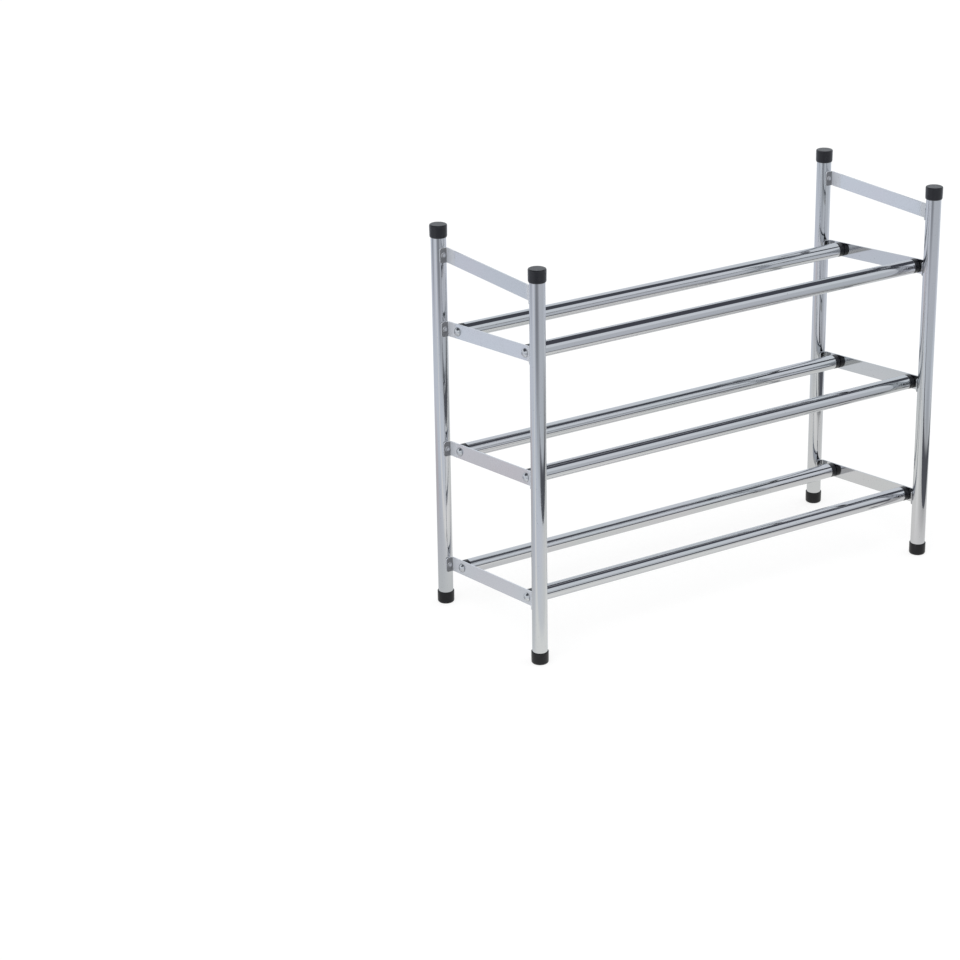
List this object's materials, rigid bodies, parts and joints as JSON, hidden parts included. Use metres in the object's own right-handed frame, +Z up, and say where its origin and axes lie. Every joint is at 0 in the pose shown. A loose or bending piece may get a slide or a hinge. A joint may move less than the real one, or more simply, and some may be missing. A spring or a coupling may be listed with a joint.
{
  "type": "shoe rack",
  "caption": "Free-standing shoe rack that pulls out sideways: end frames of tube and flat bar, joined by telescoping rail pairs.",
  "frame": {"origin": "on the floor under the middle of the rack when it is pushed together", "axes": "+X along the rails towards the fixed right frame, +Y from the front to the back, +Z up"},
  "size_m": [0.618, 0.24, 0.5],
  "materials": {
    "upright_chrome": "bright chrome",
    "bar_chrome": "bright chrome, a little softer than the tubes",
    "wide_tube_chrome": "bright chrome",
    "thin_tube_chrome": "bright chrome",
    "screw_chrome": "bright chrome",
    "cap_plastic": "black moulded, slightly shiny",
    "foot_plastic": "black moulded, slightly shiny",
    "rail_plastic": "black moulded"
  },
  "bodies": {
    "right_frame": {"right_front_upright": "upright_chrome", "right_front_cap": "cap_plastic", "right_front_foot": "foot_plastic", "right_back_upright": "upright_chrome", "right_back_cap": "cap_plastic", "right_back_foot": "foot_plastic", "right_lower_shelf_bar": "bar_chrome", "right_middle_shelf_bar": "bar_chrome", "right_upper_shelf_bar": "bar_chrome", "right_top_brace": "bar_chrome", "lower_front_wide_tube": "wide_tube_chrome", "lower_front_mouth_bush": "rail_plastic", "lower_front_end_plug": "rail_plastic", "lower_front_right_screw": "screw_chrome", "lower_back_wide_tube": "wide_tube_chrome", "lower_back_mouth_bush": "rail_plastic", "lower_back_end_plug": "rail_plastic", "lower_back_right_screw": "screw_chrome", "middle_front_wide_tube": "wide_tube_chrome", "middle_front_mouth_bush": "rail_plastic", "middle_front_end_plug": "rail_plastic", "middle_front_right_screw": "screw_chrome", "middle_back_wide_tube": "wide_tube_chrome", "middle_back_mouth_bush": "rail_plastic", "middle_back_end_plug": "rail_plastic", "middle_back_right_screw": "screw_chrome", "upper_front_wide_tube": "wide_tube_chrome", "upper_front_mouth_bush": "rail_plastic", "upper_front_end_plug": "rail_plastic", "upper_front_right_screw": "screw_chrome", "upper_back_wide_tube": "wide_tube_chrome", "upper_back_mouth_bush": "rail_plastic", "upper_back_end_plug": "rail_plastic", "upper_back_right_screw": "screw_chrome"},
    "left_frame": {"left_front_upright": "upright_chrome", "left_front_cap": "cap_plastic", "left_front_foot": "foot_plastic", "left_back_upright": "upright_chrome", "left_back_cap": "cap_plastic", "left_back_foot": "foot_plastic", "left_lower_shelf_bar": "bar_chrome", "left_middle_shelf_bar": "bar_chrome", "left_upper_shelf_bar": "bar_chrome", "left_top_brace": "bar_chrome", "lower_front_thin_tube": "thin_tube_chrome", "lower_front_left_screw": "screw_chrome", "lower_back_thin_tube": "thin_tube_chrome", "lower_back_left_screw": "screw_chrome", "middle_front_thin_tube": "thin_tube_chrome", "middle_front_left_screw": "screw_chrome", "middle_back_thin_tube": "thin_tube_chrome", "middle_back_left_screw": "screw_chrome", "upper_front_thin_tube": "thin_tube_chrome", "upper_front_left_screw": "screw_chrome", "upper_back_thin_tube": "thin_tube_chrome", "upper_back_left_screw": "screw_chrome"}
  },
  "joints": [
    {"name": "pull_out", "type": "slide", "parent": "right_frame", "child": "left_frame", "axis": [-1, 0, 0], "range_m": [0, 0.53]}
  ]
}
